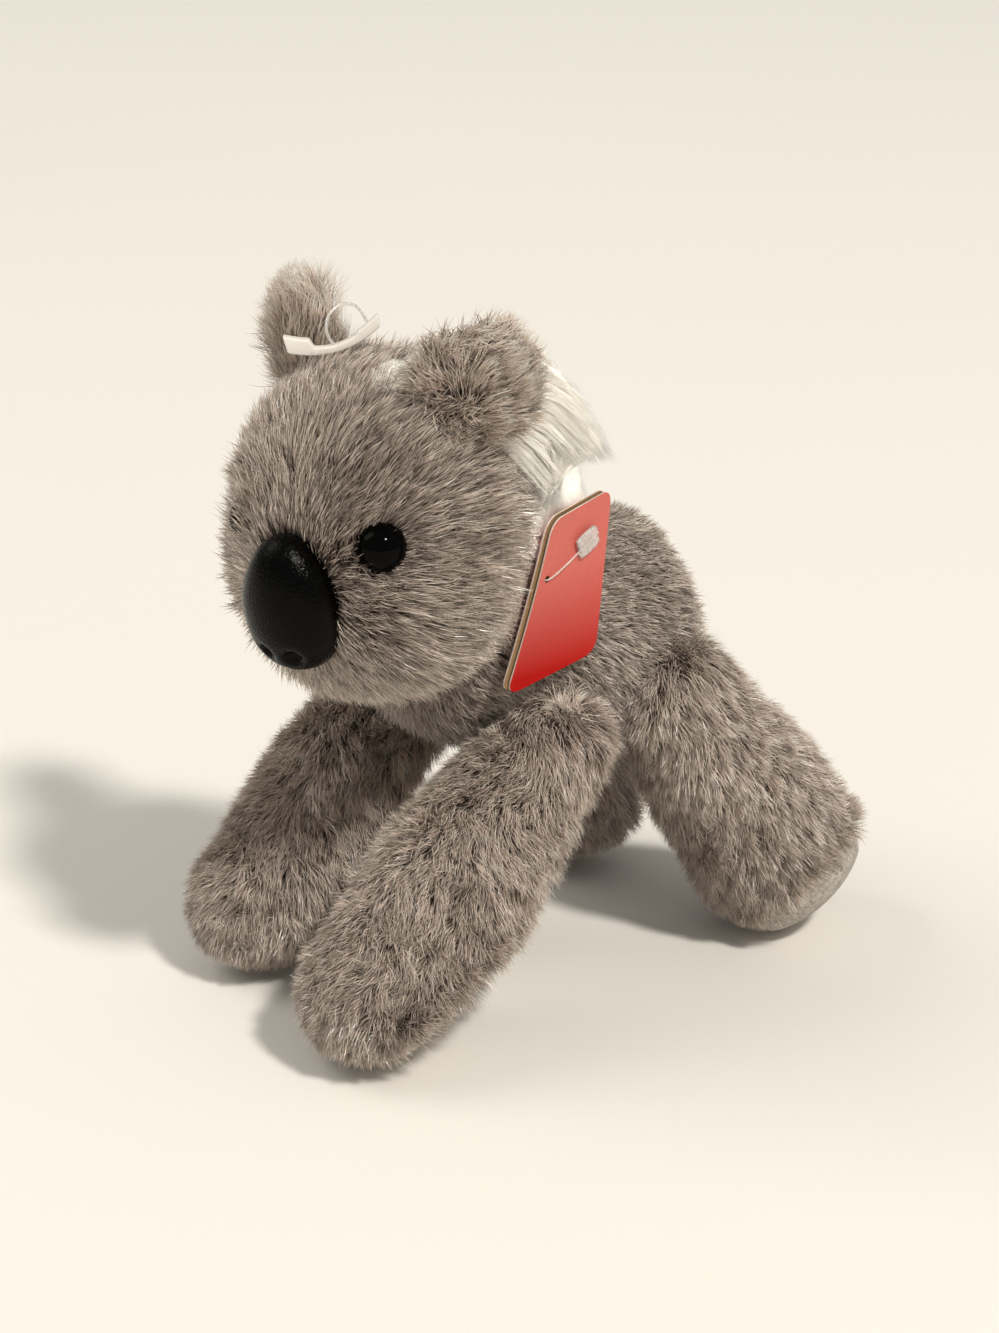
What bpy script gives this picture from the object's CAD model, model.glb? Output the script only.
"""Plush koala standing on all fours: its pile, soles, face, hang tag and hanger.

Metres, +Z up. The koala faces -Y and its left side is +X.
"""

import math

import bmesh
import bpy
import numpy as np
from mathutils import Matrix, Vector


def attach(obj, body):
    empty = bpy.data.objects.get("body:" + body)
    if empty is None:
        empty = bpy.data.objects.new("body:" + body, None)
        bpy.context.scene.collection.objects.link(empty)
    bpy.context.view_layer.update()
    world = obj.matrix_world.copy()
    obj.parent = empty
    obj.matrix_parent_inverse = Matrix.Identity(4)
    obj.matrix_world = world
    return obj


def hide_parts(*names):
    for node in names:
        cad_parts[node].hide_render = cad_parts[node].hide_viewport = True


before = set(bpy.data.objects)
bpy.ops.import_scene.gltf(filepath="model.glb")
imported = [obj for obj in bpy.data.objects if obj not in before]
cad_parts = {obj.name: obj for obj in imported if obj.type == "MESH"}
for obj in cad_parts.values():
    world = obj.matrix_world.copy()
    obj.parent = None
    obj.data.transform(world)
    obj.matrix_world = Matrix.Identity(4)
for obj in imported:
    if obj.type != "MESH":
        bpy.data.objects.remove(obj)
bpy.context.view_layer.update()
MM = 0.001

# Body: a knitted backing, sewn to a short fat tube and stuffed loosely with polyester fibre. The
# pile is knitted into the backing, so all that shows is fur, shorter and denser here than on the
# head. The backing is one closed form, and the pile grows from it by Geometry Nodes.
NECK = np.array((0, -8.6, 80.0)) * MM
RUMP = NECK + np.array((0, 31.0, -7.0)) * MM
CHEST_RADIUS = 26.5 * MM
RUMP_RADIUS = 26.5 * MM
BACK_SWELL = 1.5 * MM
BODY_PILE_DEPTH = 3.0 * MM
BACKING_COLOUR = "74685F"
PILE_ROOT_COLOUR = "5A4F47"
PILE_TIP_COLOUR = "D6C6B9"
PILE_GLINT_COLOUR = "E8E2DB"
WHITE_ROOT_COLOUR = "FAF6EE"
WHITE_TIP_COLOUR = "FFFDF8"


def colour(hex_code):
    """A linear colour from sRGB hex."""
    shares = [int(hex_code[i : i + 2], 16) / 255 for i in (0, 2, 4)]
    return (*[s / 12.92 if s <= 0.04045 else ((s + 0.055) / 1.055) ** 2.4 for s in shares], 1)


def add(tree, kind, inputs=None, **settings):
    """Add a node to a tree, set it, and fill its inputs with values, sockets or other nodes."""
    node = tree.nodes.new(kind)
    for key, value in settings.items():
        setattr(node, key, value)
    for key, value in (inputs or {}).items():
        if isinstance(value, bpy.types.Node):
            value = value.outputs[0]
        if isinstance(value, bpy.types.NodeSocket):
            tree.links.new(value, node.inputs[key])
        else:
            node.inputs[key].default_value = value
    return node


def finish(name, **values):
    """A material with its Principled shader's own sockets set, by name with _ for a space."""
    material = bpy.data.materials.new(name)
    material.use_nodes = True
    shader = material.node_tree.nodes["Principled BSDF"]
    for key, value in values.items():
        shader.inputs[key.replace("_", " ")].default_value = value
    return material, material.node_tree, shader


def noise(tree, scale, **settings):
    """Noise over a piece, in the piece's own space."""
    at = add(tree, "ShaderNodeTexCoord").outputs["Object"]
    return add(tree, "ShaderNodeTexNoise", {"Vector": at, "Scale": scale, **settings}).outputs[0]


def mapped(tree, value, low, high, start, end):
    """A value that lies between low and high, moved to lie between start and end."""
    return add(tree, "ShaderNodeMapRange", {0: value, 1: low, 2: high, 3: start, 4: end})


def relief(tree, height, strength, depth):
    return add(tree, "ShaderNodeBump", {"Height": height, "Strength": strength, "Distance": depth})


def toned(tree, hex_code, tone):
    """A colour made lighter or darker by a tone."""
    return add(tree, "ShaderNodeVectorMath", {0: colour(hex_code)[:3], "Scale": tone}, operation="SCALE")


def drive(tree, shader, **sources):
    """Link nodes to the shader's own sockets, named with _ for a space."""
    for key, source in sources.items():
        tree.links.new(source.outputs[0], shader.inputs[key.replace("_", " ")])


def placed(name, data):
    """A new object in the scene."""
    thing = bpy.data.objects.new(name, data)
    bpy.context.scene.collection.objects.link(thing)
    return thing


def mesh_from(name, bm):
    """A mesh with the faces of a bmesh, which is let go."""
    mesh = bpy.data.meshes.new(name)
    bm.to_mesh(mesh)
    bm.free()
    return mesh


def mesh_piece(name, mesh, material):
    piece = placed(name, mesh)
    if mesh.materials:
        mesh.materials.clear()
    mesh.materials.append(material)
    mesh.shade_smooth()
    return piece


def closed_form(name, fineness, shape, material):
    """A closed skin without poles: the points of an icosphere, moved by shape."""
    bm = bmesh.new()
    bmesh.ops.create_icosphere(bm, subdivisions=fineness, radius=1)
    mesh = mesh_from(name, bm)
    unit = np.zeros(len(mesh.vertices) * 3)
    mesh.vertices.foreach_get("co", unit)
    mesh.vertices.foreach_set("co", shape(unit.reshape(-1, 3)).ravel())
    mesh.update()
    return mesh_piece(name, mesh, material)


def places(piece):
    """The points of a piece and the way out of it at each."""
    count = len(piece.data.vertices)
    points, out = np.zeros(count * 3), np.zeros(count * 3)
    piece.data.vertices.foreach_get("co", points)
    piece.data.vertices.foreach_get("normal", out)
    return points.reshape(-1, 3), out.reshape(-1, 3)


def unit_rows(rows):
    return rows / np.maximum(np.linalg.norm(rows, axis=-1, keepdims=True), 1e-9)


def ease(value, low, high):
    """0 below low, 1 above high, smooth between; high may be the lower one."""
    share = np.clip((value - low) / (high - low), 0, 1)
    return share * share * (3 - 2 * share)


def stuffed_tube(unit, root, tip, root_radius, tip_radius, swell):
    """Points of a form with a ball at each end and a wall that tapers and swells between."""
    axis = tip - root
    length = np.linalg.norm(axis)
    axis = axis / length
    side = unit_rows(np.cross(axis, (0.0, 1.0, 0.3)))
    front = np.cross(axis, side)
    polar = np.arccos(np.clip(unit[:, 2], -1, 1)) / (math.pi / 3)
    around = unit_rows(unit[:, :2] + 1e-12)
    tip_lift = np.clip(polar, 0, 1) * math.pi / 2
    root_lift = np.clip(3 - polar, 0, 1) * math.pi / 2
    share = np.clip(2 - polar, 0, 1)
    wall = root_radius + (tip_radius - root_radius) * share + swell * np.sin(math.pi * share)
    along = np.where(polar < 1, length + tip_radius * np.cos(tip_lift), length * share)
    along = np.where(polar > 2, -root_radius * np.cos(root_lift), along)
    wall = np.where(polar < 1, tip_radius * np.sin(tip_lift), wall)
    wall = np.where(polar > 2, root_radius * np.sin(root_lift), wall)
    spokes = around[:, :1] * side + around[:, 1:] * front
    return root + spokes * wall[:, None] + along[:, None] * axis


def lumps(points, height, reach):
    """How far stuffing pushes the skin out at each point: soft lumps, the same on every run."""
    ways = np.array(((0.9, 0.3, -0.4), (-0.2, 1.0, 0.5), (0.5, -0.6, 0.8), (-0.7, -0.3, 1.0)))
    waves = np.sin(points @ ways.T * (math.tau / reach) + (0.3, 1.9, 4.1, 5.2))
    return waves.sum(axis=1, keepdims=True) * height / 2


def depth_in(points, *nodes):
    """How deep points lie inside the hull of some CAD nodes, and less than zero outside it."""
    bm = bmesh.new()
    for node in nodes:
        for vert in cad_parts[node].data.vertices:
            bm.verts.new(vert.co)
    hull = bmesh.ops.convex_hull(bm, input=bm.verts)["geom"]
    faces = [f for f in hull if isinstance(f, bmesh.types.BMFace)]
    ways = np.array([f.normal for f in faces])
    heights = np.array([f.normal.dot(f.verts[0].co) for f in faces])
    bm.free()
    return (heights - points @ ways.T).min(axis=1)


# The hang tag presses the pile behind it, so its plane, reach and twist are taken from its solid
tag_points = np.array([vert.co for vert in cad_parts["tag_card"].data.vertices])
tag_middle = tag_points.mean(axis=0)
tag_up, tag_across, tag_out = np.linalg.svd(tag_points - tag_middle)[2]
tag_out = tag_out * np.sign(tag_out[0])
TAG_REACH_UP = np.abs((tag_points - tag_middle) @ tag_up).max()
TAG_REACH_ACROSS = np.abs((tag_points - tag_middle) @ tag_across).max()
above, beside, ahead = ((tag_points - tag_middle) @ np.array((tag_up, tag_across, tag_out)).T).T
TAG_TWIST = (above * beside * ahead).sum() / (above * beside * above * beside).sum()
PRESSED_BEHIND = 1.7 * MM
PRESSED_AHEAD = 20 * MM
PRESSED_ROUND = 4 * MM

# Pile is worn short by the floor up to this height, and none grows this deep in another piece
TRODDEN = (3 * MM, 13 * MM)
TRODDEN_GROWTH = 0.3
BURIED = (9 * MM, 6 * MM)
FLOOR_GAP = 0.0002
LOCK_TINT = 0.18
STRAND_TINT = 0.36
PALE_STRANDS_FROM = 0.86
PALE_STRAND_TINT = 0.42


def comb_pile(piece, comb, growth, cover, shade, lying=1.0):
    """Keep on each point of a backing how its pile is combed, how long, thick and light it is.
    The comb is laid along the backing, or left as it is for fur that hangs (lying at 0)."""
    points, out = places(piece)
    comb = comb - out * (comb * out).sum(axis=1, keepdims=True) * lying
    growth = growth * (TRODDEN_GROWTH + (1 - TRODDEN_GROWTH) * ease(points[:, 2], *TRODDEN))
    mesh = piece.data
    for key, rows in (("comb", comb), ("growth", growth), ("cover", cover), ("shade", shade)):
        kind, field = ("FLOAT_VECTOR", "vector") if key == "comb" else ("FLOAT", "value")
        held = mesh.attributes.get(key) or mesh.attributes.new(key, kind, "POINT")
        if key != "comb":
            rows = rows * np.ones(len(points))
        held.data.foreach_set(field, np.ravel(rows))


def strand_blade(*rows):
    """One strand before it has a size: a ribbon whose points know how far along and across it
    they are. It stands for a tuft of fibres, so it is drawn coarser than real pile."""
    along = [row[0] for row in rows for _ in range(2)] + [1.0]
    across = [row[1] * side for row in rows for side in (-1, 1)] + [0.0]
    mesh = bpy.data.meshes.new("strand_blade")
    last = 2 * len(rows)
    faces = [(i, i + 1, i + 3, i + 2) for i in range(0, last - 2, 2)] + [(last - 2, last - 1, last)]
    mesh.from_pydata([(0, 0, 0)] * (last + 1), [], faces)
    for key, values in (("along", along), ("across", across)):
        mesh.attributes.new(key, "FLOAT", "POINT").data.foreach_set("value", values)
    return placed("strand_blade", mesh)


def pile_tree():
    """Geometry Nodes that grow pile from a combed backing: strands that gather into locks."""
    tree = bpy.data.node_groups.new("knitted_pile", "GeometryNodeTree")
    tree.interface.new_socket("Pile", in_out="OUTPUT", socket_type="NodeSocketGeometry")
    kinds = {"Backing": "Geometry", "Blade": "Object", "Finish": "Material", "Seed": "Int"}
    for size in ("Per area", "Length", "Width", "Stand", "Tangle", "Lock size", "Lock pull",
                 "Droop", "Tint"):
        kinds[size] = "Float"
    for key, kind in kinds.items():
        tree.interface.new_socket(key, in_out="INPUT", socket_type=f"NodeSocket{kind}")
    given = add(tree, "NodeGroupInput").outputs

    def named(key, kind="FLOAT"):
        return add(tree, "GeometryNodeInputNamedAttribute", {"Name": key}, data_type=kind)

    def number(operation, *values):
        return add(tree, "ShaderNodeMath", dict(enumerate(values)), operation=operation)

    def vector(operation, *values):
        return add(tree, "ShaderNodeVectorMath", dict(enumerate(values)), operation=operation)

    def scaled(source, by):
        return add(tree, "ShaderNodeVectorMath", {0: source, "Scale": by}, operation="SCALE")

    def total(first, *others):
        for other in others:
            first = vector("ADD", first, other)
        return first

    # Where each strand is knitted in, and what is random to it, to its lock and to its patch
    scatter = add(tree, "GeometryNodeDistributePointsOnFaces", {
        "Mesh": given["Backing"], "Seed": given["Seed"],
        "Density": number("MULTIPLY", named("cover"), given["Per area"]),
    }, distribute_method="RANDOM")
    out = scatter.outputs["Normal"]
    here = add(tree, "GeometryNodeInputPosition")
    own = add(tree, "FunctionNodeRandomValue", {
        0: (-1, -1, -1), 1: (1, 1, 1), "Seed": number("ADD", given["Seed"], 7),
    }, data_type="FLOAT_VECTOR")
    patch = add(tree, "ShaderNodeTexNoise", {"Vector": here, "Scale": 70, "Detail": 1.0})
    patch = scaled(vector("SUBTRACT", patch.outputs["Color"], (0.5, 0.5, 0.5)), 2.2)
    lock = add(tree, "ShaderNodeTexVoronoi", {
        "Vector": total(here, scaled(patch, 0.0015)), "Scale": number("DIVIDE", 1, given["Lock size"]),
    })
    to_lock = vector("SUBTRACT", lock.outputs["Position"], here)
    to_lock = vector("SUBTRACT", to_lock, scaled(out, vector("DOT_PRODUCT", to_lock, out).outputs["Value"]))
    lock_own = scaled(vector("SUBTRACT", lock.outputs["Color"], (0.5, 0.5, 0.5)), 2)

    # The strand's middle and tip from its root, its half width, and its tint
    lean = total(patch, scaled(lock_own, 0.6), scaled(own, 0.6))
    lean = total(named("comb", "FLOAT_VECTOR"), scaled(lean, given["Tangle"]))
    parts = [add(tree, "ShaderNodeSeparateXYZ", {0: source}) for source in (lock_own, own)]
    spread = number("ADD", number("MULTIPLY", parts[0].outputs["X"], 0.16),
                    number("MULTIPLY", parts[1].outputs["X"], 0.14))
    grown = number("MULTIPLY", given["Length"], named("growth"))
    length = number("MULTIPLY", grown, number("ADD", spread, 1))
    way = vector("NORMALIZE", total(scaled(out, given["Stand"]), lean))
    sag = add(tree, "ShaderNodeCombineXYZ", {"Z": number("MULTIPLY", given["Droop"], -1)})
    tip = total(scaled(total(way, sag), length), scaled(to_lock, given["Lock pull"]))
    rise = vector("NORMALIZE", total(scaled(out, number("ADD", given["Stand"], 0.6)), scaled(lean, 0.6)))
    middle = scaled(rise, number("MULTIPLY", length, 0.5))
    broad = vector("NORMALIZE", vector("CROSS_PRODUCT", tip, total(out, scaled(own, 0.8))))
    broad = scaled(broad, number("MULTIPLY", given["Width"], 0.5))
    tint = number("ADD", number("MULTIPLY", parts[0].outputs["Y"], LOCK_TINT),
                  number("MULTIPLY", parts[1].outputs["Y"], STRAND_TINT))
    pale = number("GREATER_THAN", parts[1].outputs["Z"], PALE_STRANDS_FROM)
    pale = number("MULTIPLY", pale, PALE_STRAND_TINT)
    tint = number("ADD", number("ADD", tint, pale), number("ADD", named("shade"), given["Tint"]))
    tint = add(tree, "ShaderNodeClamp", {"Value": tint, "Min": 0.03, "Max": 0.97})
    points = scatter
    for key, value in (("to_middle", middle), ("to_tip", tip), ("to_side", broad), ("tint", tint)):
        kind = "FLOAT" if key == "tint" else "FLOAT_VECTOR"
        points = add(tree, "GeometryNodeStoreNamedAttribute", {
            "Geometry": points, "Name": key, "Value": value,
        }, data_type=kind)

    # A blade on each root, drawn out along the strand's curve
    blade = add(tree, "GeometryNodeObjectInfo", {"Object": given["Blade"]}).outputs["Geometry"]
    blades = add(tree, "GeometryNodeInstanceOnPoints", {"Points": points, "Instance": blade})
    pile = add(tree, "GeometryNodeRealizeInstances", {0: blades})
    along, across = named("along"), named("across")
    square = number("MULTIPLY", along, along)
    hump = number("MULTIPLY", number("SUBTRACT", along, square), 2)
    drawn = total(scaled(named("to_middle", "FLOAT_VECTOR"), hump),
                  scaled(named("to_tip", "FLOAT_VECTOR"), square),
                  scaled(named("to_side", "FLOAT_VECTOR"), across))
    pile = add(tree, "GeometryNodeSetPosition", {"Geometry": pile, "Offset": drawn})

    # Pile in front of the tag's back is pressed to behind it, and all of it is kept off the floor
    from_tag = vector("SUBTRACT", here, tuple(tag_middle))
    ahead = vector("DOT_PRODUCT", from_tag, tuple(tag_out)).outputs["Value"]
    places_on = [vector("DOT_PRODUCT", from_tag, tuple(way)).outputs["Value"]
                 for way in (tag_up, tag_across)]
    twist = number("MULTIPLY", number("MULTIPLY", *places_on), TAG_TWIST)
    ahead = number("SUBTRACT", ahead, twist)
    over = number("MULTIPLY", number("GREATER_THAN", ahead, -PRESSED_BEHIND),
                  number("LESS_THAN", ahead, PRESSED_AHEAD))
    for place, reach in zip(places_on, (TAG_REACH_UP, TAG_REACH_ACROSS)):
        within = mapped(tree, number("ABSOLUTE", place), reach, reach + PRESSED_ROUND, 1.0, 0.0)
        over = number("MULTIPLY", over, within)
    press = number("MULTIPLY", over, number("SUBTRACT", -PRESSED_BEHIND, ahead))
    pile = add(tree, "GeometryNodeSetPosition", {"Geometry": pile, "Offset": scaled(tuple(tag_out), press)})
    clear = add(tree, "ShaderNodeSeparateXYZ", {0: here})
    clear = add(tree, "ShaderNodeCombineXYZ", {
        "X": clear.outputs["X"], "Y": clear.outputs["Y"],
        "Z": number("MAXIMUM", clear.outputs["Z"], FLOOR_GAP),
    })
    pile = add(tree, "GeometryNodeSetPosition", {"Geometry": pile, "Position": clear})

    # The strand's tint and the way along it, kept where the finish reads them
    spot = add(tree, "ShaderNodeCombineXYZ", {
        "X": number("ADD", named("tint"), number("MULTIPLY", across, 0.01)),
        "Y": number("MULTIPLY_ADD", along, 0.96, 0.02),
    })
    pile = add(tree, "GeometryNodeStoreNamedAttribute", {
        "Geometry": pile, "Name": "OFBake", "Value": spot,
    }, data_type="FLOAT2", domain="CORNER")
    pile = add(tree, "GeometryNodeSetMaterial", {"Geometry": pile, "Material": given["Finish"]})
    add(tree, "NodeGroupOutput", {0: pile})
    return tree


PILE = pile_tree()
LONG_BLADE = strand_blade((0, 1.0), (0.36, 0.95), (0.70, 0.72))
SHORT_BLADE = strand_blade((0, 1.0), (0.55, 0.85))


def grow_pile(name, backing, material, blade, seed, **sizes):
    """Grow pile from a backing and make it a plain mesh. Sizes are named as the tree's inputs."""
    grower = backing.copy()
    bpy.context.scene.collection.objects.link(grower)
    pile = grower.modifiers.new("pile", "NODES")
    pile.node_group = PILE
    values = {"Blade": blade, "Finish": material, "Seed": seed}
    values.update({key.replace("_", " "): value for key, value in sizes.items()})
    for item in PILE.interface.items_tree:
        if item.in_out == "INPUT" and item.name in values:
            pile[item.identifier] = values[item.name]
    drawn = grower.evaluated_get(bpy.context.evaluated_depsgraph_get())
    mesh = bpy.data.meshes.new_from_object(drawn)
    bpy.data.objects.remove(grower)
    for key in ("along", "across", "to_middle", "to_tip", "to_side", "tint",
                "comb", "growth", "cover", "shade", "undyed"):
        if key in mesh.attributes:
            mesh.attributes.remove(mesh.attributes[key])
    return mesh_piece(name, mesh, material)


def pile_finish(name, root, tip, palest, rise, roughness, uneven=1.0):
    """Dyed polyester pile: dark and shaded at the root, paler and glossy at the tip, and each
    strand and lock lighter or darker than the next, as far as uneven says."""
    material, tree, shader = finish(name, Roughness=roughness, IOR=1.5)
    spot = add(tree, "ShaderNodeSeparateXYZ", {0: add(tree, "ShaderNodeUVMap", uv_map="OFBake")})
    up = add(tree, "ShaderNodeMath", {0: spot.outputs["Y"], 1: rise}, operation="POWER")
    dye = add(tree, "ShaderNodeMix", data_type="RGBA")
    tree.links.new(up.outputs[0], dye.inputs[0])
    dye.inputs[6].default_value = colour(root)
    dye.inputs[7].default_value = colour(tip)
    light = add(tree, "ShaderNodeMath", {0: spot.outputs["X"], 1: 1.6}, operation="POWER")
    light = add(tree, "ShaderNodeMath", {0: light, 1: 1.4 * uneven, 2: 1 - 0.48 * uneven},
                operation="MULTIPLY_ADD")
    dyed = add(tree, "ShaderNodeVectorMath", {0: dye.outputs[2], "Scale": light}, operation="SCALE")
    dyed = add(tree, "ShaderNodeVectorMath", {0: dyed, 1: colour(palest)[:3]}, operation="MINIMUM")
    drive(tree, shader, Base_Color=dyed)
    return material


def backing_finish(name, yarn):
    """Knitted polyester backing: fine loops, matt, and seen only between the strands. It is white
    where white pile grows, which the point value undyed tells."""
    material, tree, shader = finish(name, Roughness=0.95)
    at = add(tree, "ShaderNodeTexCoord").outputs["Object"]
    loops = add(tree, "ShaderNodeTexVoronoi", {"Vector": at, "Scale": 1400})
    ramp = add(tree, "ShaderNodeMapRange", {0: loops.outputs["Distance"], 3: 1.0, 4: 0.6})
    undyed = add(tree, "ShaderNodeAttribute", attribute_name="undyed")
    dye = add(tree, "ShaderNodeMix", data_type="RGBA")
    tree.links.new(undyed.outputs["Fac"], dye.inputs[0])
    dye.inputs[6].default_value = colour(yarn)
    dye.inputs[7].default_value = colour(WHITE_ROOT_COLOUR)
    tone = add(tree, "ShaderNodeVectorMath", {0: dye.outputs[2], "Scale": ramp}, operation="SCALE")
    drive(tree, shader, Base_Color=tone)
    drive(tree, shader, Normal=relief(tree, loops.outputs["Distance"], 0.4, 0.0002))
    return material


backing = backing_finish("knitted_backing", BACKING_COLOUR)
body_pile = pile_finish("dyed_body_pile", PILE_ROOT_COLOUR, PILE_TIP_COLOUR, PILE_GLINT_COLOUR, 1.35, 0.4)


def body_shape(unit):
    radii = (CHEST_RADIUS - BODY_PILE_DEPTH, RUMP_RADIUS - BODY_PILE_DEPTH)
    points = stuffed_tube(unit, NECK, RUMP, *radii, BACK_SWELL)
    middle = (NECK + RUMP) / 2
    return points + unit_rows(points - middle) * lumps(points, 0.7 * MM, 34 * MM)


body = closed_form("body_plush", 6, body_shape, backing)
spots, _ = places(body)
LIMB_NAMES = ("arm_left", "arm_right", "leg_left", "leg_right")
buried = np.max([depth_in(spots, f"{limb}_skin", f"{limb}_sole") for limb in LIMB_NAMES], axis=0)
buried = np.maximum(buried, depth_in(spots, "head_skin"))
down_side = np.array((0, 1.0, -0.5))
comb_pile(body, comb=np.broadcast_to(down_side, spots.shape), growth=np.ones(len(spots)),
          cover=ease(buried, *BURIED), shade=0.5 - 0.12 * ease(spots[:, 2], 82 * MM, 60 * MM))
pile = grow_pile("body_pile", body, body_pile, SHORT_BLADE, 11, Per_area=5.4e6, Length=5.0 * MM,
                 Width=0.26 * MM, Stand=1.0, Tangle=0.9, Lock_size=1.2 * MM, Lock_pull=0.6,
                 Droop=0.1, Tint=-0.06)
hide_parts("body_skin", "body_filling", "belly_pouch")
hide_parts("body_skin")
for piece in (body, pile):
    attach(piece, "torso")

# Head: the same backing, cut in gussets and sewn to an egg that is wider than deep, and packed
# tighter than the body. It turns and nods on the ball of filling at the neck. The pile is longer
# here and combed back from the nose on all sides, round the eyes and along the chin.
HEAD_CENTRE = Vector((0, -31.5 * MM, 30 * MM))
HEAD_TURN = Matrix.Rotation(math.radians(16), 4, "Z")
HEAD_FRAME = Matrix.Translation(Vector(NECK)) @ HEAD_TURN @ Matrix.Translation(HEAD_CENTRE)
HEAD_HALVES = np.array((31, 30, 36)) * MM
HEAD_PILE_DEPTH = 3.2 * MM
NOSE_AT = np.array((0, -29.4, -7.2)) * MM
NOSE_HALVES = np.array((10.9, 8.0, 14.5)) * MM
EYES_AT = np.array(((18.2, -24.0, 5.2), (-18.2, -24.0, 5.2))) * MM
MUZZLE_SWELL = 2.0 * MM
CHEEKS_AT = np.array(((20, -16, -17), (-20, -16, -17))) * MM
CHEEK_SWELL = 1.2 * MM
EYE_DENT = 1.6 * MM
WHITE_PATCHES = (
    # places in the head's own frame and how far each reaches, in millimetres
    (20.0, 17.5, 17.0, 9.0),  # behind the left ear
    (24.5, 16.5, 6.0, 8.5),
    (-20.0, 17.5, 17.0, 7.5),  # behind the right ear
    (-24.5, 16.5, 6.0, 6.0),
    (12.0, 22.5, 21.0, 7.0),
    (7.5, -5.2, 33.8, 5.0),  # a tuft on the crown
)
OVERHANG_AT = np.array((-13.5, -27.0, 6.5)) * MM


def in_frame(points, turn):
    """Rows of points moved by a matrix."""
    turn = np.array(turn)
    return points @ turn[:3, :3].T + turn[:3, 3]


def bump_at(points, centre, reach):
    """A soft bump's share at each point, 1 at its centre."""
    return np.exp(-(((points - centre) ** 2).sum(axis=1) / reach**2))[:, None]


def head_shape(unit):
    points = unit * (HEAD_HALVES - HEAD_PILE_DEPTH)
    way = unit_rows(unit / HEAD_HALVES)
    points = points + way * MUZZLE_SWELL * bump_at(points, NOSE_AT, 15 * MM)
    for cheek in CHEEKS_AT:
        points = points + way * CHEEK_SWELL * bump_at(points, cheek, 15 * MM)
    for eye in EYES_AT:
        points = points - way * EYE_DENT * bump_at(points, eye, 7 * MM)
    points = points + way * lumps(points, 0.5 * MM, 30 * MM)
    return in_frame(points, HEAD_FRAME)


head = closed_form("head_plush", 6, head_shape, backing)
spots, out = places(head)
at = in_frame(spots, HEAD_FRAME.inverted())
nose_gap = np.linalg.norm(at - NOSE_AT, axis=1)
comb = unit_rows(at - NOSE_AT)
clear = ease(np.linalg.norm((at - NOSE_AT) / NOSE_HALVES, axis=1), 0.80, 0.98)
shorter = 0.62 + 0.38 * ease(nose_gap, 12 * MM, 24 * MM)
shorter = shorter * (1 - 0.35 * ease(at[:, 2], -16 * MM, -30 * MM))
# The fur is trimmed all round the left eye, but only on the outer side of the right one, which
# the fur on the bridge of the nose stands over
for eye, trimmed in zip(EYES_AT, (1.0, ease(at[:, 0], -15 * MM, -18 * MM))):
    gap = np.linalg.norm(at - eye, axis=1)
    comb += unit_rows(at - eye) * (1 - ease(gap, 4 * MM, 10 * MM))[:, None]
    shorter = shorter * (1 - 0.45 * trimmed * ease(gap, 9 * MM, 4 * MM))
    clear = clear * ease(gap - 1.4 * MM * trimmed, 3.6 * MM, 4.6 * MM)
overhang = ease(np.linalg.norm(at - OVERHANG_AT, axis=1), 8 * MM, 4 * MM)
overhang = overhang * (1 - trimmed) * ease(gap, 4 * MM, 6 * MM)
comb *= (1 - 0.55 * overhang)[:, None]
shorter *= 1 + 0.25 * overhang
shorter *= 1 - 0.12 * ease(at[:, 0], -6 * MM, -20 * MM)
comb[:, 2] -= 0.35 * ease(at[:, 1], -14 * MM, 8 * MM)
comb = in_frame(comb, HEAD_TURN)
clear = clear * ease(depth_in(spots, "body_skin"), *BURIED)
white = 0
for *place, reach in WHITE_PATCHES:
    gap = np.linalg.norm(at - np.array(place) * MM, axis=1)
    white = np.maximum(white, ease(gap, (reach + 1) * MM, (reach - 1) * MM))
shade = 0.5 + 0.11 * ease(at[:, 0], 8 * MM, -12 * MM) - 0.06 * ease(at[:, 2], -5 * MM, -20 * MM)
comb_pile(head, comb=comb, growth=shorter, cover=clear * (1 - white), shade=shade)
head_pile = pile_finish("dyed_head_pile", PILE_ROOT_COLOUR, PILE_TIP_COLOUR, PILE_GLINT_COLOUR, 1.25, 0.27)
white_pile = pile_finish("white_lining_pile", WHITE_ROOT_COLOUR, WHITE_TIP_COLOUR, WHITE_TIP_COLOUR,
                         0.8, 0.45, uneven=0.3)
# Light passes from fibre to fibre in white pile, and the light scattered inside a strand stands for it
soft_light = white_pile.node_tree.nodes["Principled BSDF"]
soft_light.subsurface_method = "BURLEY"
soft_light.inputs["Subsurface Weight"].default_value = 0.75
soft_light.inputs["Subsurface Radius"].default_value = (1.0, 1.0, 1.0)
soft_light.inputs["Subsurface Scale"].default_value = 0.0025
under = grow_pile("head_undercoat", head, head_pile, SHORT_BLADE, 21, Per_area=5.8e6, Length=6.2 * MM,
                  Width=0.22 * MM, Stand=0.9, Tangle=0.55, Lock_size=1.4 * MM, Lock_pull=0.3,
                  Droop=0.05, Tint=-0.08)
over = grow_pile("head_pile", head, head_pile, LONG_BLADE, 22, Per_area=3.7e6, Length=8.2 * MM,
                 Width=0.23 * MM, Stand=0.72, Tangle=0.45, Lock_size=1.7 * MM, Lock_pull=0.5,
                 Droop=0.08, Tint=0.1)
long_white = ease(at[:, 1], 2 * MM, 12 * MM)
fall = comb * 0.3 + np.outer(long_white, (0.3, 1.1, -1.0)) + out * (0.4 * long_white)[:, None]
longer = (0.5 + 0.5 * long_white) * (1 - 0.35 * ease(at[:, 0], 0, -12 * MM))
comb_pile(head, comb=fall, growth=longer, cover=white, shade=0.5, lying=0)
head.data.attributes.new("undyed", "FLOAT", "POINT").data.foreach_set("value", white)
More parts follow.
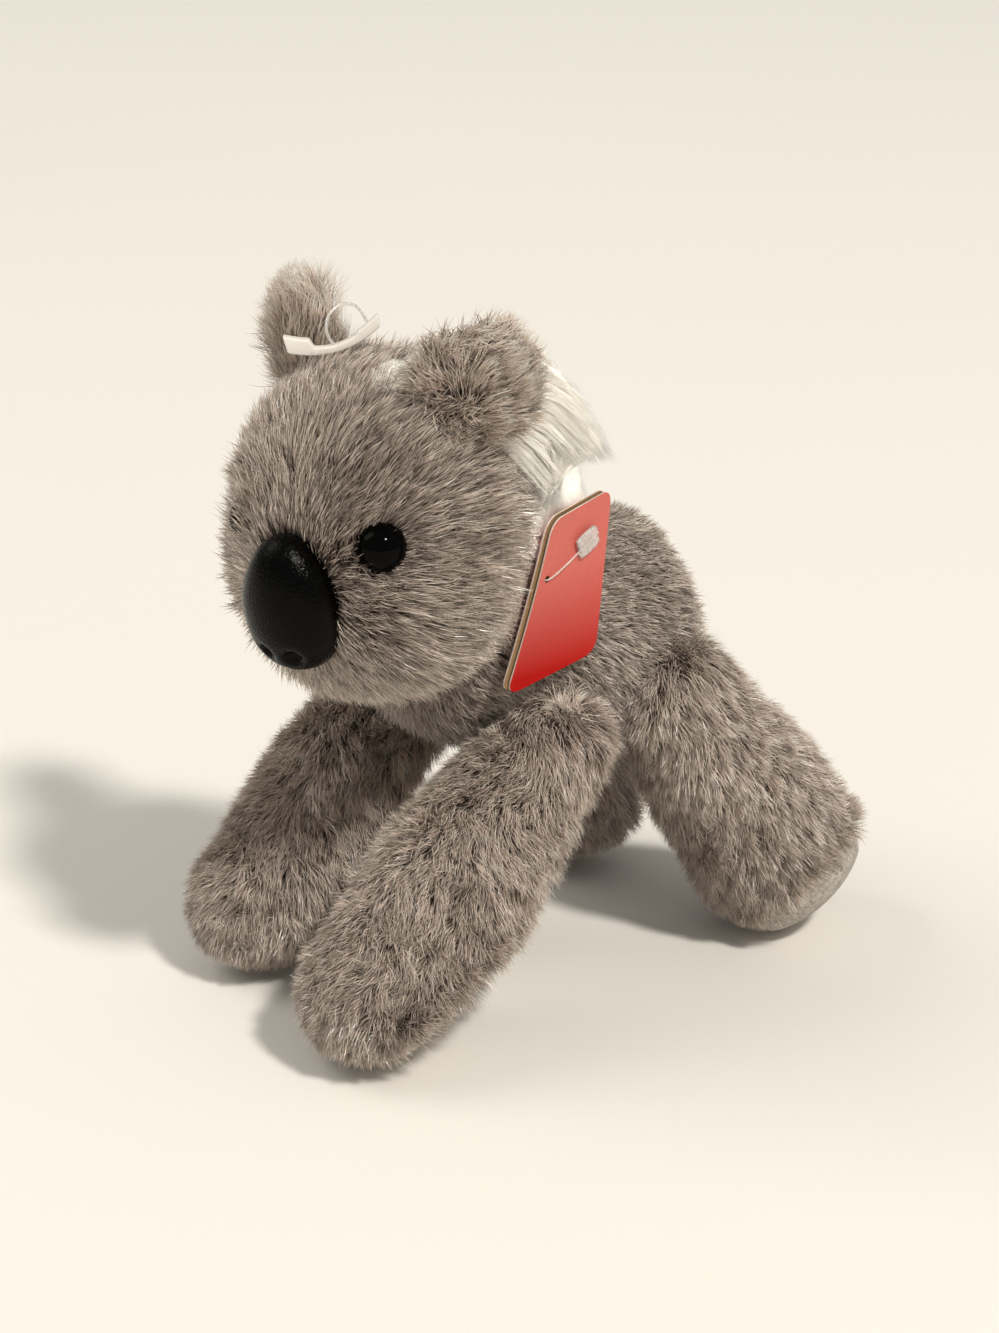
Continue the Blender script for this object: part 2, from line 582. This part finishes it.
ruff = grow_pile("white_ruff_pile", head, white_pile, LONG_BLADE, 23, Per_area=32e6, Length=18.0 * MM,
                 Width=0.36 * MM, Stand=0.85, Tangle=0.3, Lock_size=2.4 * MM, Lock_pull=0.35,
                 Droop=0.35, Tint=0.2)
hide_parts("head_skin", "head_filling")
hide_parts("head_skin")
for piece in (over, ruff):
    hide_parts("head_skin")
for piece, material in (
    (head, "grey_plush"), (under, "grey_plush"), (over, "grey_plush"), (ruff, "white_long_plush"),
):
    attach(piece, "head")

# Nose and eyes: moulded black plastic, each pushed through the plush on a stem and held by a
# washer inside. The nose is satin with a fine grain and two nostril dents; the eyes are glossy.
NOSE_TOP_SHARE = 0.22
NOSE_FULLNESS = 2.5
EYE_RADIUS = 5.25 * MM
EYE_SINK = 3.5 * MM
EYE_RISE = 5.2 * MM
EYE_OUT = 18.2 * MM


def face_frame(across, rise, sink):
    """The frame of a face piece: -Y points out of the head where it sits."""
    ahead = math.sqrt(1 - (across / HEAD_HALVES[0]) ** 2 - (rise / HEAD_HALVES[2]) ** 2)
    place = Vector((across, -HEAD_HALVES[1] * ahead, rise))
    out = Vector([place[i] / HEAD_HALVES[i] ** 2 for i in range(3)])
    place = HEAD_FRAME @ place
    out = (HEAD_FRAME.to_3x3() @ out).normalized()
    turn = (-out).to_track_quat("Y", "Z").to_matrix().to_4x4()
    return Matrix.Translation(place - out * sink) @ turn


def nose_shape(unit):
    pinch = 1 - NOSE_TOP_SHARE * np.maximum(0, unit[:, 2])
    low = np.clip(-unit[:, 2], 0, 0.97)
    full = (1 - low**NOSE_FULLNESS) ** (1 / NOSE_FULLNESS) / np.sqrt(1 - low**2)
    points = unit * NOSE_HALVES
    points[:, 0] *= pinch * full
    points[:, 1] *= full
    for side in (-1, 1):
        nostril = np.array((side * 3.3, -6.3, -9.8)) * MM
        points += np.array((0, 2.0, 0.6)) * MM * bump_at(points, nostril, 1.7 * MM)
    return in_frame(points, face_frame(0, NOSE_AT[2], 0))


nose_plastic, tree, shader = finish("moulded_satin_plastic", Roughness=0.34, Specular_IOR_Level=0.075)
grain = noise(tree, 1700, Detail=2.0)
tone = mapped(tree, noise(tree, 400, Detail=3.0), 0.4, 0.8, 0.0005, 0.0015)
drive(tree, shader, Base_Color=add(tree, "ShaderNodeCombineXYZ", {"X": tone, "Y": tone, "Z": tone}),
      Roughness=mapped(tree, grain, 0.3, 0.7, 0.14, 0.32), Normal=relief(tree, grain, 1.0, 0.00014))

eye_plastic, tree, shader = finish("moulded_glossy_plastic", Roughness=0.06, Specular_IOR_Level=0.055)
tone = mapped(tree, noise(tree, 900), 0.3, 0.7, 0.0005, 0.001)
drive(tree, shader, Base_Color=add(tree, "ShaderNodeCombineXYZ", {"X": tone, "Y": tone, "Z": tone}))

nose = closed_form("nose_dome", 6, nose_shape, nose_plastic)
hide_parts("nose")
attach(nose, "head")
for name, side, sink in (("eye_left", 1, EYE_SINK), ("eye_right", -1, EYE_SINK * 1.1)):
    seat = face_frame(side * EYE_OUT, EYE_RISE, sink)
    eye = closed_form(f"{name}_dome", 5, lambda unit: in_frame(unit * EYE_RADIUS, seat), eye_plastic)
    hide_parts(name)
    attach(eye, "head")

# Ears: a grey outer panel and a white lining of longer pile, sewn round the edge, turned out and
# sewn into the head by the straight side. Each ear flaps on that seam.
EAR_HALVES = np.array((13, 5.5, 12.25)) * MM
EAR_SEAM = 3 * MM
EAR_PILE_DEPTH = 2.5 * MM
EARS = (("ear_left", 1, (0.665, -0.045, 0.71), 28), ("ear_right", -1, (-0.7677, 0.2667, 0.6667), 14))

for name, side, shares, lean in EARS:
    turn = Matrix.Rotation(math.radians(side * 38), 4, "Z")
    turn = turn @ Matrix.Rotation(math.radians(side * lean), 4, "Y")
    hinge = HEAD_FRAME @ Vector([share * half for share, half in zip(shares, HEAD_HALVES)])
    seat = Matrix.Translation(hinge) @ HEAD_TURN @ turn

    def ear_shape(unit):
        points = unit * (EAR_HALVES - EAR_PILE_DEPTH) + (0, 0, EAR_HALVES[2] - EAR_SEAM)
        return in_frame(points, seat)

    ear = closed_form(f"{name}_plush", 5, ear_shape, backing)
    spots, out = places(ear)
    at = in_frame(spots, seat.inverted())
    turned = seat.to_3x3().to_4x4()
    fan = in_frame(unit_rows(at - np.array((-2 * side, 0, -8)) * MM), turned)
    grown = ease(at[:, 2], -4 * MM, 0)
    hanging = ease(at[:, 0] * side, -6 * MM, 6 * MM)
    longer = (0.75 + 0.55 * hanging) * (1 - 0.5 * ease(at[:, 2], 9 * MM, 18 * MM))
    if side > 0:
        grey_side = ease(at[:, 1], 1.2 * MM, -0.2 * MM)
        growth = 1 - 0.3 * ease(at[:, 0], 1 * MM, 9 * MM)
    else:
        grey_side = ease(at[:, 1], 2.6 * MM, 1.2 * MM)
        growth = 1.15 + 0.3 * ease(at[:, 0], 0, 8 * MM)
        longer = longer * 0.6
    comb_pile(ear, comb=fan * 1.1, growth=growth, cover=grown * grey_side,
              shade=0.58 + 0.17 * ease(at[:, 2], 2 * MM, 16 * MM))
    grey = grow_pile(f"{name}_pile", ear, head_pile, LONG_BLADE, 31, Per_area=12e6, Length=7.8 * MM,
                     Width=0.23 * MM, Stand=0.55, Tangle=0.8, Lock_size=2.4 * MM, Lock_pull=0.75,
                     Droop=0.08, Tint=0.22)
    fall = fan * 0.9 + hanging[:, None] * np.array((0.55, 0.6, -0.85)) * (side, 1, 1)
    comb_pile(ear, comb=fall, growth=longer, cover=grown * (1 - grey_side), shade=0.55, lying=0)
    white = grow_pile(f"{name}_lining_pile", ear, white_pile, LONG_BLADE, 32, Per_area=46e6,
                      Length=14.0 * MM, Width=0.34 * MM, Stand=0.4, Tangle=0.3, Lock_size=2.6 * MM,
                      Lock_pull=0.35, Droop=0.6, Tint=0.2)
    ear.data.attributes.new("undyed", "FLOAT", "POINT").data.foreach_set("value", grown * (1 - grey_side))
    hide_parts(f"{name}_outer", f"{name}_lining")
    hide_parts(f"{name}_outer")
    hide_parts(f"{name}_lining")
    for piece, material in ((ear, "grey_plush"), (grey, "grey_plush"), (white, "white_long_plush")):
        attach(piece, name)

# Arms and legs: plush tubes that widen to the paw, filled with fibre and a pouch of pellets, and
# closed by a sole. Each swings on the ball where it is sewn to the body.
SHOULDER = (25.0, -7.1, 59.0)
HIP = (23.0, 30.4, 61.0)
LIMB_PILE_DEPTH = 3.2 * MM
SOLE_PLANE_SHARE = 0.62
SOLE_BULGE = 4.2 * MM
LIMBS = (
    # name, side, root, paw centre, root and paw radius, swell, and how the sole faces out and back
    ("arm_left", 1, SHOULDER, (25.0, -53.1, 15.41), (13.0, 17.0), 1.6, (25, 27)),
    ("arm_right", -1, SHOULDER, (-26.0, -46.1, 15.43), (13.0, 17.0), 1.6, (25, 27)),
    ("leg_left", 1, HIP, (31.0, 56.4, 18.05), (13.8, 19.2), 1.8, (41, 30)),
    ("leg_right", -1, HIP, (-31.0, 43.4, 18.48), (13.8, 19.2), 1.8, (41, 30)),
)
SEAM_SHARES = {"arm_left": 0.42, "arm_right": 0.42, "leg_left": 0.27, "leg_right": 0.27}
SEAM_ALLOWANCE = 0.0005
PAD_DEPTH = 0.003
PAD_FULLNESS = 0.7
PAD_MOUTH_SHARE = 0.8
VELOUR_COLOUR = "C0B7AC"
velour, tree, shader = finish("velour_sole", Roughness=0.9, Sheen_Weight=0.25, Sheen_Roughness=0.5)
# Short warp-knit velour. Its nap is drawn about four times as coarse as it is, to show at this size
nap = noise(tree, 1150, Detail=4.0, Roughness=0.75)
tone = mapped(tree, nap, 0.35, 0.65, 0.5, 1.3)
brushed = mapped(tree, noise(tree, 260, Detail=3.0), 0.3, 0.7, 0.88, 1.08)
both = add(tree, "ShaderNodeMath", {0: tone, 1: brushed}, operation="MULTIPLY")
drive(tree, shader, Base_Color=toned(tree, VELOUR_COLOUR, both), Normal=relief(tree, nap, 1.0, 0.0008))

for number, (name, side, root, paw, radii, swell, faces) in enumerate(LIMBS):
    root = np.array(root) * (side, 1, 1) * MM
    paw = np.array(paw) * MM
    root_radius, paw_radius = np.array(radii) * MM
    slope_out, slope_back = [math.tan(math.radians(face)) for face in faces]
    sole = unit_rows(np.array((side * slope_out, slope_back, -1.0)))
    edge = paw_radius * SEAM_SHARES[name]

    def limb_shape(unit):
        radii = (root_radius - LIMB_PILE_DEPTH, paw_radius - LIMB_PILE_DEPTH)
        points = stuffed_tube(unit, root, paw, *radii, swell * MM)
        points = points + unit_rows(points - (root + paw) / 2) * lumps(points, 0.6 * MM, 28 * MM)
        past = np.maximum(0, (points - paw) @ sole - edge - SEAM_ALLOWANCE)
        return points - past[:, None] * sole

    def sole_shape(unit):
        inner = stuffed_tube(unit, root, paw, root_radius - PAD_DEPTH, paw_radius - PAD_DEPTH, swell * MM)
        outer = stuffed_tube(unit, root, paw, root_radius, paw_radius, swell * MM)
        full = ease((outer - paw) @ sole, edge - 0.001, edge + 0.008)[:, None] * PAD_FULLNESS
        points = inner + (outer - inner) * full
        beyond = (points - paw) @ sole - paw_radius * SOLE_PLANE_SHARE
        reach = paw_radius * (1 - SOLE_PLANE_SHARE)
        points = points - np.maximum(0, beyond)[:, None] * sole * (1 - SOLE_BULGE / reach)
        short = np.maximum(0, edge - (points - paw) @ sole)
        points = points + short[:, None] * sole
        middle = paw + sole * edge
        spread = np.linalg.norm(points - middle, axis=1)
        mouth = paw_radius * PAD_MOUTH_SHARE
        inside = np.where(short > 0, mouth / np.maximum(spread, mouth), 1)
        points = middle + (points - middle) * inside[:, None]
        points[:, 2] = np.maximum(points[:, 2], 0)
        return points

    limb = closed_form(f"{name}_plush", 6, limb_shape, backing)
    spots, _ = places(limb)
    way = unit_rows(paw - root)
    share = (spots - root) @ way / np.linalg.norm(paw - root)
    on_sole = (spots - paw) @ sole - edge
    by_seam = ease(on_sole, -7 * MM, -1 * MM)[:, None]
    comb = (np.broadcast_to(way, spots.shape) * 0.7 + np.array((0, 0, -0.3))) * (1 - by_seam)
    comb_pile(limb, comb=comb, growth=1 + 0.1 * by_seam[:, 0],
              cover=ease(on_sole, 0.4 * MM, -0.4 * MM) * ease(depth_in(spots, "body_skin"), *BURIED),
              shade=0.44 + 0.16 * ease(spots[:, 2], 18 * MM, 48 * MM))
    pile = grow_pile(f"{name}_pile", limb, head_pile, SHORT_BLADE, 41 + number, Per_area=9.8e6,
                     Length=6.0 * MM, Width=0.24 * MM, Stand=0.9, Tangle=0.8, Lock_size=1.7 * MM,
                     Lock_pull=0.8, Droop=0.1, Tint=0.08)
    pad = closed_form(f"{name}_sole_pad", 6, sole_shape, velour)
    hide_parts(f"{name}_skin", f"{name}_filling", f"{name}_pouch")
    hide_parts(f"{name}_skin")
    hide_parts(f"{name}_sole")
    for piece, material in ((limb, "grey_plush"), (pile, "grey_plush"), (pad, "sole_velour")):
        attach(piece, name)

# Hang tag: a folded card, kraft inside and printed red and varnished outside, with no mark on it.
# The leaves are die-cut together with round corners and lie a little apart and out of line.
CHEST_SIDE = np.array((CHEST_RADIUS, 0, 0))
TAG_TOP_FRONT = CHEST_SIDE + np.array((5.4, -12.6, 111.9)) * MM
TAG_TOP_REAR = CHEST_SIDE + np.array((-0.5, 8.2, 113.3)) * MM
TAG_FOOT_FRONT = CHEST_SIDE + np.array((2.1, -22.2, 74.8)) * MM
TAG_FOOT_REAR = CHEST_SIDE + np.array((3.4, 1.1, 79.7)) * MM
TAG_WIDTH = 22.5 * MM
TAG_HEIGHT = 37.3 * MM
TAG_LEAF = 0.4 * MM
TAG_FOLD_GAP = 0.5 * MM
TAG_CORNER = 3.2 * MM
TAG_HOLE_RADIUS = 0.8 * MM
TAG_HOLE_IN = 2.8 * MM
TAG_HOLE_DOWN = 13.0 * MM
TAG_BOW = 0.5 * MM
DEEP_INK_HEIGHT = 0.078
PALE_INK_HEIGHT = 0.100


def tag_spot(right, up):
    """Places on the twisted card, from its middle, and the way out of it at each."""
    rear = (right / TAG_WIDTH + 0.5)[..., None]
    down = (0.5 - up / TAG_HEIGHT)[..., None]
    front_edge = TAG_TOP_FRONT + (TAG_FOOT_FRONT - TAG_TOP_FRONT) * down
    rear_edge = TAG_TOP_REAR + (TAG_FOOT_REAR - TAG_TOP_REAR) * down
    below = (TAG_FOOT_FRONT - TAG_TOP_FRONT) * (1 - rear) + (TAG_FOOT_REAR - TAG_TOP_REAR) * rear
    return front_edge + (rear_edge - front_edge) * rear, unit_rows(np.cross(below, rear_edge - front_edge))


def card_leaf(bm, outside, inside, shift_right, shift_up):
    """One leaf between two heights out of the card's middle, its printed side first."""
    across, up = 24, 40
    grid = {}
    for face, height in ((0, outside), (1, inside)):
        for i in range(across + 1):
            for j in range(up + 1):
                x, y = (i / across - 0.5) * TAG_WIDTH, (j / up - 0.5) * TAG_HEIGHT
                dx = max(0, abs(x) - TAG_WIDTH / 2 + TAG_CORNER)
                dy = max(0, abs(y) - TAG_HEIGHT / 2 + TAG_CORNER)
                if dx > 0 and dy > 0:
                    pull = max(dx, dy) / math.hypot(dx, dy)
                    x -= math.copysign(dx * (1 - pull), x)
                    y -= math.copysign(dy * (1 - pull), y)
                place, out = tag_spot(np.array(x + shift_right), np.array(y + shift_up))
                bow = TAG_BOW * (1 - (2 * y / TAG_HEIGHT) ** 2) * (0.5 - x / TAG_WIDTH)
                grid[face, i, j] = bm.verts.new(place + out * (height + bow))
    for i in range(across):
        for j in range(up):
            for face, turn in ((0, 1), (1, -1)):
                ring = [grid[face, i + a, j + b] for a, b in ((0, 0), (1, 0), (1, 1), (0, 1))]
                made = bm.faces.new(ring[::turn])
                made.material_index = face
    rim = [(i, 0) for i in range(across)] + [(across, j) for j in range(up)]
    rim += [(i, up) for i in range(across, 0, -1)] + [(0, j) for j in range(up, 0, -1)]
    for one, two in zip(rim, rim[1:] + rim[:1]):
        made = bm.faces.new([grid[(0, *two)], grid[(0, *one)], grid[(1, *one)], grid[(1, *two)]])
        made.material_index = 2


# Ink under varnish. It reflects the pale room more towards the top, which the paler ink stands for
card_print, tree, shader = finish("varnished_print", Roughness=0.3, Specular_IOR_Level=0.1)
at_piece = add(tree, "ShaderNodeTexCoord").outputs["Object"]
height = add(tree, "ShaderNodeSeparateXYZ", {0: at_piece}).outputs["Z"]
share = mapped(tree, height, DEEP_INK_HEIGHT, PALE_INK_HEIGHT, 0.0, 1.0)
ink = add(tree, "ShaderNodeMix", data_type="RGBA")
tree.links.new(share.outputs[0], ink.inputs[0])
ink.inputs[6].default_value = colour("AE0602")
ink.inputs[7].default_value = colour("D06C62")
fibres = noise(tree, 1500, Detail=3.0)
tone = mapped(tree, fibres, 0.3, 0.7, 0.95, 1.04)
inked = add(tree, "ShaderNodeVectorMath", {0: ink.outputs[2], "Scale": tone}, operation="SCALE")
drive(tree, shader, Base_Color=inked, Normal=relief(tree, fibres, 0.08, 0.0001))


def board_finish(name, hex_code):
    """Uncoated paper board, matt with short fibres in it."""
    material, tree, shader = finish(name, Roughness=0.85)
    tone = mapped(tree, noise(tree, 2200, Detail=4.0), 0.3, 0.7, 0.8, 1.1)
    drive(tree, shader, Base_Color=toned(tree, hex_code, tone))
    return material


bm = bmesh.new()
half_gap = TAG_FOLD_GAP / 2
card_leaf(bm, half_gap + TAG_LEAF, half_gap, 0, 0)
card_leaf(bm, -half_gap - TAG_LEAF, -half_gap, -0.9 * MM, 0.5 * MM)
bmesh.ops.recalc_face_normals(bm, faces=bm.faces)
mesh = mesh_from("card_leaves", bm)
leaves = mesh_piece("card_leaves", mesh, card_print)
mesh.materials.append(board_finish("kraft_board", "9A7B55"))
mesh.materials.append(board_finish("cut_board_edge", "E3CFC4"))
hole_at, hole_out = tag_spot(np.array(TAG_HOLE_IN - TAG_WIDTH / 2),
                             np.array(TAG_HEIGHT / 2 - TAG_HOLE_DOWN))
bm = bmesh.new()
bmesh.ops.create_cone(bm, cap_ends=True, segments=32, depth=6 * MM,
                      radius1=TAG_HOLE_RADIUS, radius2=TAG_HOLE_RADIUS)
turn = Vector(hole_out).to_track_quat("Z", "Y").to_matrix().to_4x4()
bm.transform(Matrix.Translation(Vector(hole_at)) @ turn)
punch = placed("punch", mesh_from("punch", bm))
cut = leaves.modifiers.new("punched", "BOOLEAN")
cut.object = punch
cut.solver = "EXACT"
drawn = leaves.evaluated_get(bpy.context.evaluated_depsgraph_get())
mesh = bpy.data.meshes.new_from_object(drawn)
leaves.modifiers.clear()
leaves.data = mesh
mesh.shade_smooth()
mesh.set_sharp_from_angle(angle=math.radians(35))
bpy.data.objects.remove(punch)
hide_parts("tag_card")
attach(leaves, "tag")

# Tag fastener: clear nylon, a thin filament from a toggle under the pile, out through the punched
# hole and up across the card to a flat paddle, whose end is torn where it left its clip.
FILAMENT_RADIUS = 0.2 * MM
PADDLE_WIDTH = 5.4 * MM
PADDLE_HEIGHT = 6.0 * MM
PADDLE_DEPTH = 0.7 * MM
PADDLE_ACROSS = 10.5
PADDLE_UP = 8.0
nylon, tree, shader = finish("clear_nylon", Roughness=0.18, IOR=1.4, Transmission_Weight=0.6)
haze = noise(tree, 900, Detail=3.0)
drive(tree, shader, Roughness=mapped(tree, haze, 0.3, 0.7, 0.08, 0.4),
      Normal=relief(tree, haze, 0.5, 0.0002))
shader.inputs["Base Color"].default_value = colour("F6F4F0")


def wire_mesh(bm, route, radius, sides=10):
    """A round wire with closed ends along a route."""
    rings = []
    for i, place in enumerate(route):
        way = (route[min(i + 1, len(route) - 1)] - route[max(i - 1, 0)]).normalized()
        turn = way.to_track_quat("Z", "Y").to_matrix()
        angles = [math.tau * k / sides for k in range(sides)]
        spokes = [Vector((math.cos(angle), math.sin(angle), 0)) for angle in angles]
        rings.append([bm.verts.new(place + turn @ spoke * radius) for spoke in spokes])
    for one, two in zip(rings, rings[1:]):
        for k in range(sides):
            bm.faces.new((one[k], one[(k + 1) % sides], two[(k + 1) % sides], two[k]))
    bm.faces.new(rings[0][::-1])
    bm.faces.new(rings[-1])


def smooth_route(points, steps):
    """Points along a smooth curve through some points."""
    rows = np.array([points[0], *points, points[-1]], float)
    route = []
    for i in range(len(points) - 1):
        a, b, c, d = rows[i : i + 4]
        for step in range(steps):
            t = step / steps
            route.append(Vector(0.5 * (2 * b + (c - a) * t + (2 * a - 5 * b + 4 * c - d) * t**2
                                       + (3 * b - a - 3 * c + d) * t**3)))
    return route + [Vector(points[-1])]


across = unit_rows(np.cross(TAG_FOOT_FRONT - TAG_TOP_FRONT, hole_out) * -1)
upward = np.cross(hole_out, across)
before = hole_at + hole_out * 1.3 * MM
paddle_at = before + across * PADDLE_ACROSS * MM + upward * PADDLE_UP * MM
behind = hole_at - hole_out * 2 * MM
toggle = hole_at - hole_out * 9 * MM
bm = bmesh.new()
halfway = (before + paddle_at) / 2 + hole_out * 0.5 * MM
wire_mesh(bm, smooth_route([toggle, behind, before, halfway, paddle_at], 10), FILAMENT_RADIUS)
lean = math.atan2(PADDLE_ACROSS, PADDLE_UP)
turn = Matrix((across, -hole_out, upward)).transposed().to_4x4()
paddle = bmesh.new()
bmesh.ops.create_grid(paddle, x_segments=10, y_segments=10, size=0.5)
bmesh.ops.rotate(paddle, verts=paddle.verts, matrix=Matrix.Rotation(math.pi / 2, 3, "X"))
solid = bmesh.ops.extrude_face_region(paddle, geom=paddle.faces[:])["geom"]
bmesh.ops.translate(paddle, verts=[v for v in solid if isinstance(v, bmesh.types.BMVert)], vec=(0, 1, 0))
ragged = np.random.default_rng(5).normal(size=(11, 2))
for vert in paddle.verts:
    x, y, z = vert.co
    column = round((x + 0.5) * 10)
    torn = max(0, z) * ragged[column, 0] * 0.10 + max(0, -z) * ragged[column, 1] * 0.05
    swell = 1 - 0.12 * (abs(z) * 2) ** 3
    vert.co = (x * PADDLE_WIDTH * swell, (y - 0.5) * PADDLE_DEPTH * (1 - 0.5 * (abs(x) * 2) ** 4),
               (z + torn) * PADDLE_HEIGHT)
paddle.transform(Matrix.Translation(Vector(paddle_at)) @ turn @ Matrix.Rotation(lean, 4, "Y"))
bm.from_mesh(mesh_from("tag_paddle", paddle))
bmesh.ops.recalc_face_normals(bm, faces=bm.faces)
fastener = mesh_piece("tag_filament", mesh_from("tag_filament", bm), nylon)
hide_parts("tag_fastener")
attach(fastener, "head")

# Hanger: a white plastic bar with a lug at each end, turning on a clear loop that is anchored in
# the crown seam. The bar is moulded, a shallow bow with soft edges.
BAR_LENGTH = 19.5 * MM
BAR_SAG = 2.6 * MM
BAR_HEIGHT = 1.9 * MM
BAR_DEPTH = 3.4 * MM
BAR_STAND = 2.0 * MM
LUG_LENGTH = 5.0 * MM
LUG_HEIGHT = 1.7 * MM
LOOP_RADIUS = 4.6 * MM
LOOP_WIRE_RADIUS = 0.3 * MM
crown = Vector((-7.2 * MM, -2.7 * MM, 0))
crown.z = HEAD_HALVES[2] * math.sqrt(1 - (crown.x / HEAD_HALVES[0]) ** 2 - (crown.y / HEAD_HALVES[1]) ** 2)
bar_out = (HEAD_TURN @ Vector([crown[i] / HEAD_HALVES[i] ** 2 for i in range(3)])).normalized()
along = HEAD_TURN @ Matrix.Rotation(math.radians(37), 4, "Z") @ Vector((1, 0, 0))
along = (along - bar_out * along.dot(bar_out)).normalized()
bar_frame = Matrix((along, bar_out.cross(along), bar_out)).transposed().to_4x4()
bar_frame = Matrix.Translation(HEAD_FRAME @ crown) @ bar_frame

moulded_white, tree, shader = finish("moulded_white_plastic", Roughness=0.35, IOR=1.49)
mould = noise(tree, 1200, Detail=2.0)
drive(tree, shader, Base_Color=toned(tree, "F1EDE4", mapped(tree, mould, 0.3, 0.7, 0.97, 1.02)),
      Roughness=mapped(tree, mould, 0.3, 0.7, 0.3, 0.45), Normal=relief(tree, mould, 0.1, 0.0001))

bm = bmesh.new()
steps = 36
rows = []
for step in range(steps + 1):
    share = 2 * step / steps - 1
    x = share * BAR_LENGTH / 2
    base = BAR_STAND + BAR_SAG * share**2
    lug = 0
    if x < LUG_LENGTH - BAR_LENGTH / 2:
        lug = LUG_HEIGHT
    elif x > BAR_LENGTH / 2 - LUG_LENGTH:
        lug = LUG_HEIGHT * 0.3
    top = base + BAR_HEIGHT * (0.75 + 0.25 * abs(share)) + lug
    corners = ((-1, base), (1, base), (1, top), (-1, top))
    rows.append([bm.verts.new((x, y * BAR_DEPTH / 2, z)) for y, z in corners])
for one, two in zip(rows, rows[1:]):
    for k in range(4):
        bm.faces.new((one[k], two[k], two[(k + 1) % 4], one[(k + 1) % 4]))
bm.faces.new(rows[0])
bm.faces.new(rows[-1][::-1])
bmesh.ops.recalc_face_normals(bm, faces=bm.faces)
bm.transform(bar_frame)
bar = mesh_piece("hanger_bar", mesh_from("hanger_bar", bm), moulded_white)
soft = bar.modifiers.new("soft_edges", "BEVEL")
soft.width = 0.35 * MM
soft.segments = 3
soft.limit_method = "ANGLE"
soft.angle_limit = math.radians(35)
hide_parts("hang_bar")
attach(bar, "hang_bar")

bm = bmesh.new()
turn = bar_frame @ Matrix.Rotation(math.radians(-60), 4, "Z")
wobble = (0, 0.05, -0.04, 0.08, 0.02, -0.05, 0.06, 0.0)
rim = []
for step in range(48):
    angle = math.tau * step / 48
    uneven = 1 + 0.5 * wobble[step * 8 // 48] * math.sin(4 * angle)
    middle = Vector((0, LOOP_RADIUS * 0.75, BAR_STAND + BAR_HEIGHT / 2 + LOOP_RADIUS * 0.66))
    way = Vector((0, -math.cos(angle), math.sin(angle)))
    spokes = []
    for k in range(10):
        spoke = way * math.cos(math.tau * k / 10) + Vector((math.sin(math.tau * k / 10), 0, 0))
        spokes.append(bm.verts.new(turn @ (middle + way * LOOP_RADIUS * uneven + spoke * LOOP_WIRE_RADIUS)))
    rim.append(spokes)
for one, two in zip(rim, rim[1:] + rim[:1]):
    for k in range(10):
        bm.faces.new((one[k], two[k], two[(k + 1) % 10], one[(k + 1) % 10]))
bmesh.ops.recalc_face_normals(bm, faces=bm.faces)
loop = mesh_piece("hanger_loop", mesh_from("hanger_loop", bm), nylon)
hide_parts("hang_loop")
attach(loop, "head")

# The room: a plain pale floor, a soft lamp from the koala's left and high up, a broad weak one that
# stands for the light a wall throws back, and a pale world that fills the shadows.
floor_paint, tree, shader = finish("floor_paint", Roughness=0.75)
scuffs = mapped(tree, noise(tree, 3, Detail=4.0), 0.3, 0.7, 0.985, 1.0)
drive(tree, shader, Base_Color=toned(tree, "F8F5EE", scuffs))
bm = bmesh.new()
bmesh.ops.create_grid(bm, x_segments=1, y_segments=1, size=6)
floor = mesh_piece("floor", mesh_from("floor", bm), floor_paint)

world = bpy.data.worlds.new("room")
bpy.context.scene.world = world
world.use_nodes = True
tree = world.node_tree
ray = add(tree, "ShaderNodeLightPath")
seen = add(tree, "ShaderNodeMath", {0: ray.outputs["Is Camera Ray"], 1: ray.outputs["Is Transmission Ray"]},
           operation="MAXIMUM")
strength = mapped(tree, seen, 0.0, 1.0, 0.39, 0.85)
background = tree.nodes["Background"]
background.inputs["Color"].default_value = colour("F6F3ED")
tree.links.new(strength.outputs[0], background.inputs["Strength"])

target = Vector((9, -7.6, 72)) * MM
LAMPS = (
    # name, side, watts, way to it and how far it stands
    ("key_lamp", 0.6, 256.0, (0.643, -0.033, 0.766), 6.0),
    ("wall_bounce", 4.0, 118.0, (-0.5, -0.5, 0.72), 6.4),
)
for name, side, watts, way, distance in LAMPS:
    lamp = bpy.data.lights.new(name, "AREA")
    lamp.size = side
    lamp.energy = watts
    lamp.color = colour("FFFAF2")[:3]
    stand = placed(name, lamp)
    stand.location = target + Vector(way).normalized() * distance
    stand.rotation_euler = (target - stand.location).to_track_quat("-Z", "Y").to_euler()

# The camera of the photograph, found by fitting it to the picture
camera = placed("camera", bpy.data.cameras.new("camera"))
camera.location = (0.50234, -0.40710, 0.31544)
camera.rotation_euler = (target - camera.location).to_track_quat("-Z", "Y").to_euler()
camera.data.lens = 85.4
camera.data.sensor_width = 36
bpy.context.scene.camera = camera
bpy.context.scene.view_settings.view_transform = "Standard"
for blade in (LONG_BLADE, SHORT_BLADE):
    bpy.data.objects.remove(blade)
